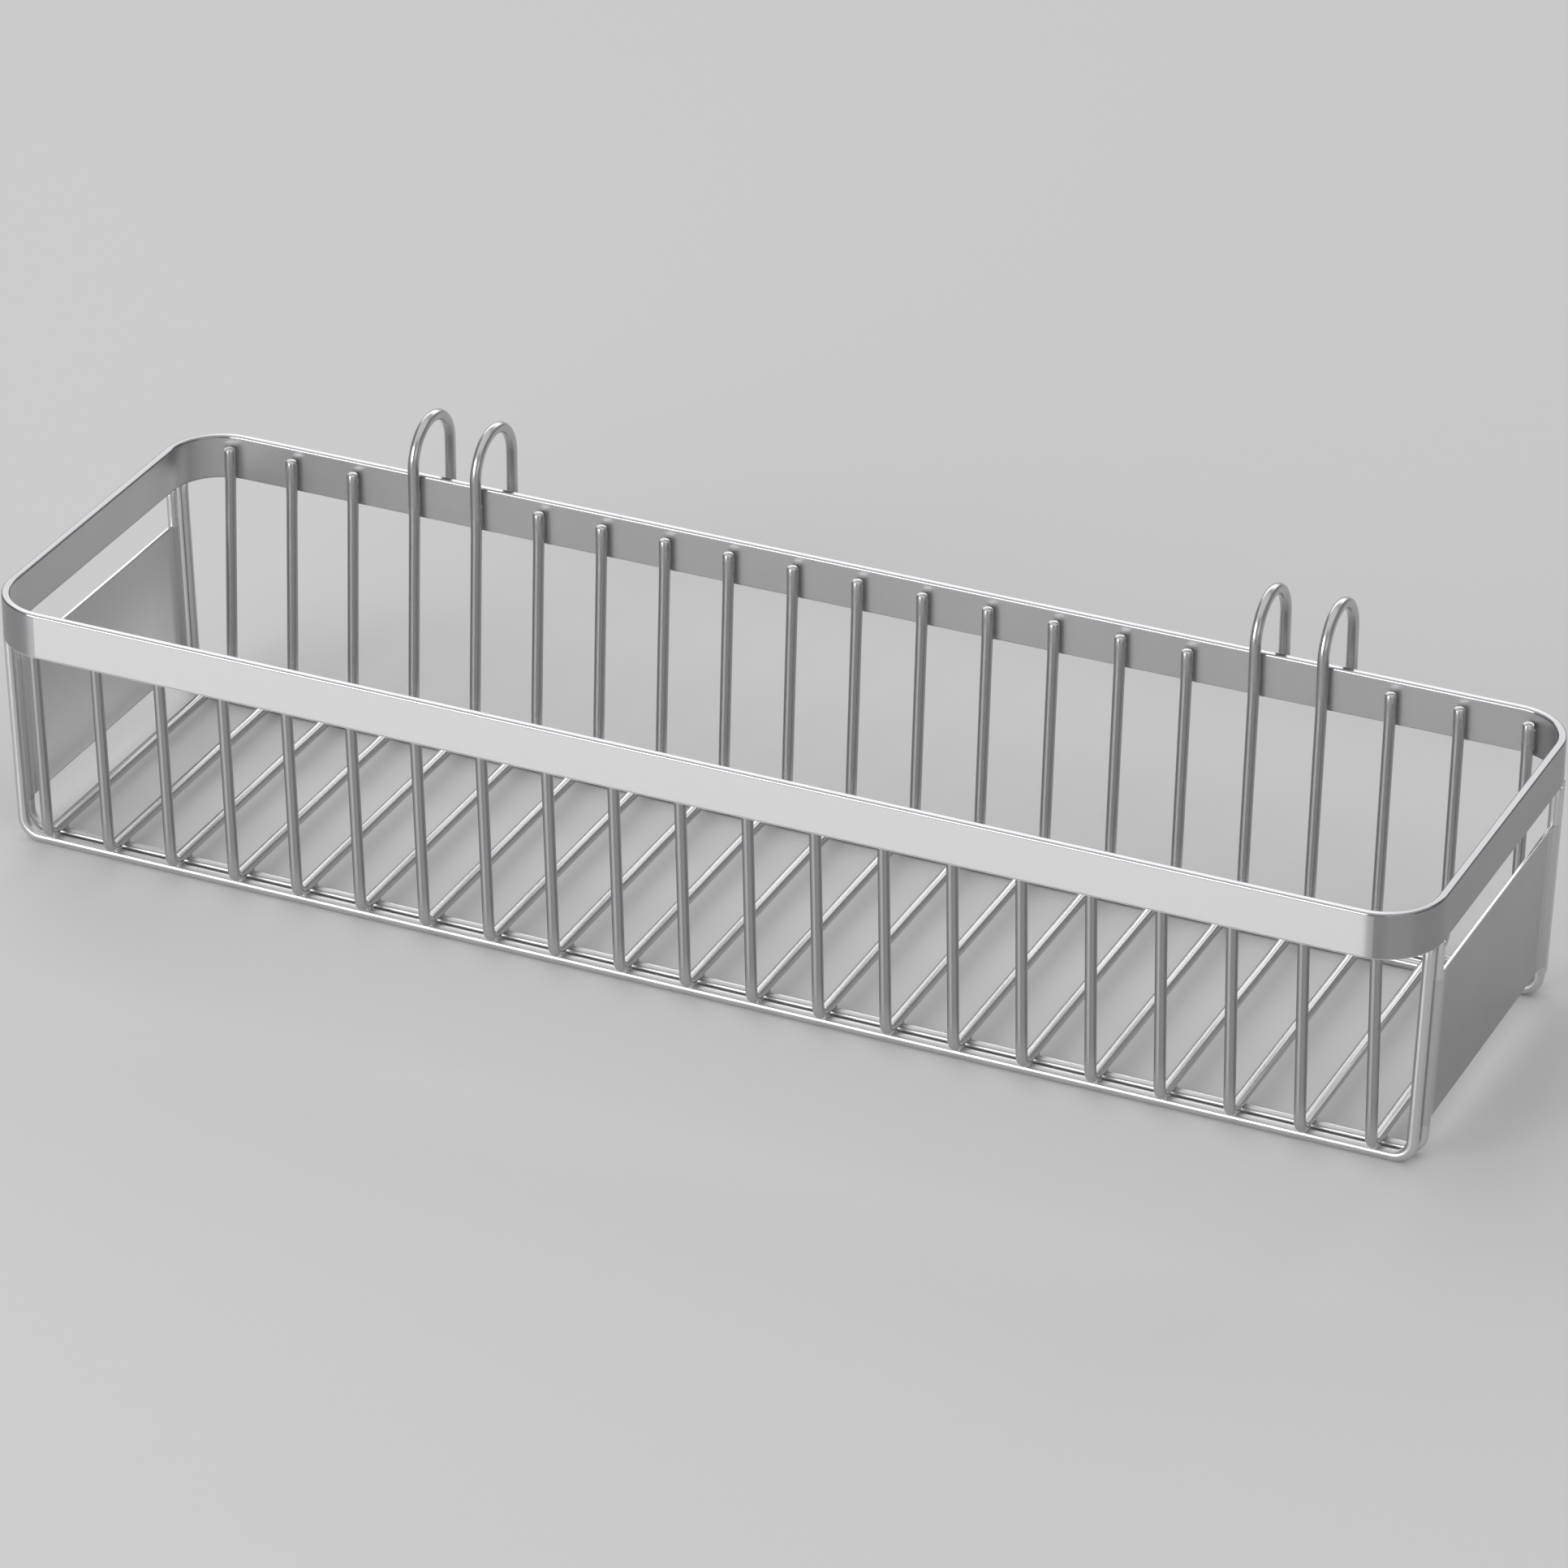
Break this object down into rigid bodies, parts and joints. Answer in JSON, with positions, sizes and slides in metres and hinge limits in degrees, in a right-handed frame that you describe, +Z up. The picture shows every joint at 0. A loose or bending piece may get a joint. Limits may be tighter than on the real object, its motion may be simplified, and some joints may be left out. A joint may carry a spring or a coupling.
{
  "type": "hanging cutlery holder",
  "caption": "Shallow welded wire basket with a flat rim band, closed ends and rear hooks, for holding cutlery on the edge of a rack.",
  "frame": {"origin": "on the ground plane under the four runner wires, at the centre of the outline seen from above, hooks included", "axes": "+Z up, +X along the basket's length, +Y towards the side with the hooks"},
  "size_m": [0.2876, 0.098, 0.0641],
  "materials": {
    "polished_strip": "polished",
    "drawn_wire": "bright drawn and polished",
    "satin_sheet": "satin"
  },
  "bodies": {
    "root": {"rim_band": "polished_strip", "cross_wire_01": "drawn_wire", "cross_wire_02": "drawn_wire", "cross_wire_03": "drawn_wire", "hook_wire_04": "drawn_wire", "hook_wire_05": "drawn_wire", "cross_wire_06": "drawn_wire", "cross_wire_07": "drawn_wire", "cross_wire_08": "drawn_wire", "cross_wire_09": "drawn_wire", "cross_wire_10": "drawn_wire", "cross_wire_11": "drawn_wire", "cross_wire_12": "drawn_wire", "cross_wire_13": "drawn_wire", "cross_wire_14": "drawn_wire", "cross_wire_15": "drawn_wire", "cross_wire_16": "drawn_wire", "hook_wire_17": "drawn_wire", "hook_wire_18": "drawn_wire", "cross_wire_19": "drawn_wire", "cross_wire_20": "drawn_wire", "cross_wire_21": "drawn_wire", "front_outer_runner": "drawn_wire", "front_inner_runner": "drawn_wire", "rear_outer_runner": "drawn_wire", "rear_inner_runner": "drawn_wire", "left_end_sheet": "satin_sheet", "right_end_sheet": "satin_sheet"}
  },
  "joints": []
}
